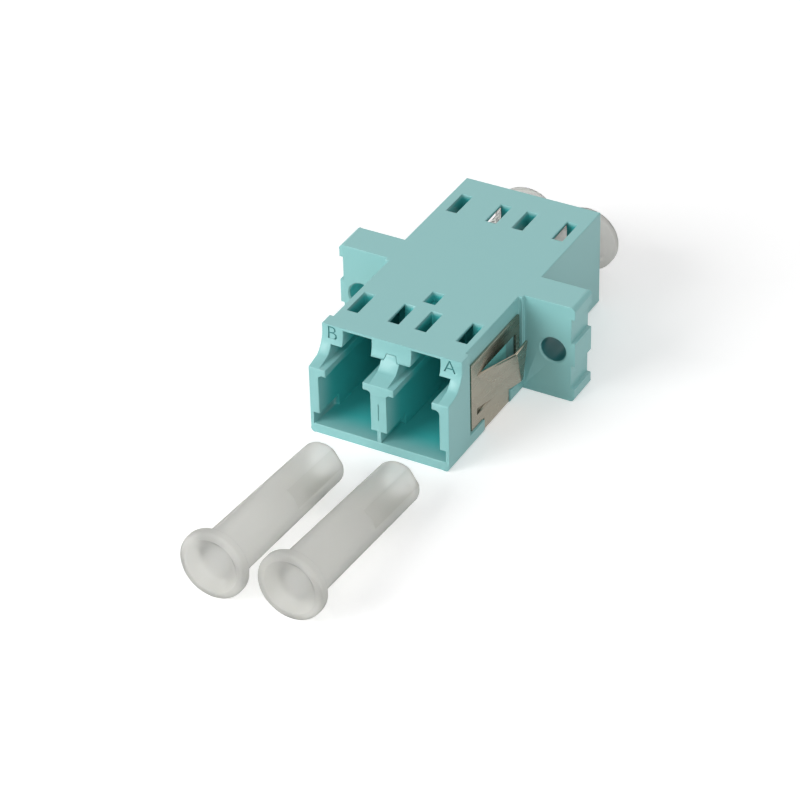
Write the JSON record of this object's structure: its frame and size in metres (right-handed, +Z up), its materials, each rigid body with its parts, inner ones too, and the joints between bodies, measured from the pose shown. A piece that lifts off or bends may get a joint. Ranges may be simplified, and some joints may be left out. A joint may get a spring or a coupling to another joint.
{
  "type": "duplex fibre optic adapter",
  "caption": "Duplex fibre adapter with stepped latch ports, a panel flange with screw holes, a sprung side clip, split alignment sleeves and pull-off dust caps.",
  "frame": {"origin": "centre of the flange's front face, midway between the two screw holes", "axes": "+X across the two ports, +Y from the front ports to the rear ports, +Z up from the flat underside to the latch windows"},
  "size_m": [0.022, 0.0555, 0.0092],
  "materials": {
    "aqua_plastic": "satin moulded plastic",
    "spring_steel": "brushed stainless sheet",
    "ceramic": "polished ceramic",
    "cap_plastic": "soft translucent plastic"
  },
  "bodies": {
    "adapter": {"housing": "aqua_plastic", "sleeve_holder_insert": "aqua_plastic", "panel_clip": "spring_steel", "split_sleeve_a": "ceramic", "split_sleeve_b": "ceramic", "dust_cap_front_a": "cap_plastic", "dust_cap_front_b": "cap_plastic"},
    "rear_cap_a": {"dust_cap_rear_a": "cap_plastic"},
    "rear_cap_b": {"dust_cap_rear_b": "cap_plastic"}
  },
  "joints": [
    {"name": "rear_cap_a_pull", "type": "slide", "parent": "adapter", "child": "rear_cap_a", "axis": [0, 1, 0], "range_m": [0, 0.0135]},
    {"name": "rear_cap_b_pull", "type": "slide", "parent": "adapter", "child": "rear_cap_b", "axis": [0, 1, 0], "range_m": [0, 0.0135]}
  ]
}
